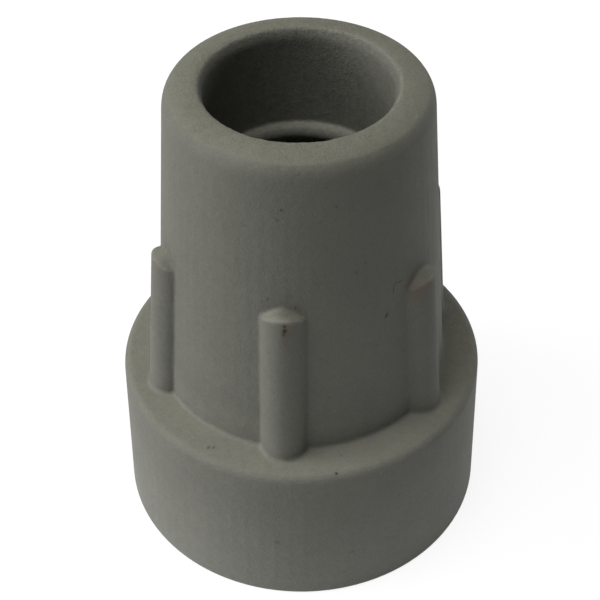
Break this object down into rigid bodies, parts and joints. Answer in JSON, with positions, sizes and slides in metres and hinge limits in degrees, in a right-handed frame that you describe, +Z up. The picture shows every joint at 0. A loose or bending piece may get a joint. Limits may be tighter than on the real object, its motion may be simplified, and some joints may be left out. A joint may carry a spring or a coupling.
{
  "type": "cane tip",
  "caption": "Rubber cane tip with a wide round foot, a tapered neck with half-round ribs and a blind bore with a grip bead that is pushed on the end of a cane.",
  "frame": {"origin": "centre of the flat sole, on the axis of the bore", "axes": "+Z up along the bore's axis, out of its mouth; -Y is the front, +X is to the right of it"},
  "size_m": [0.04, 0.04, 0.0526],
  "materials": {
    "rubber": "matte"
  },
  "bodies": {
    "root": {"rubber_tip": "rubber"}
  },
  "joints": []
}
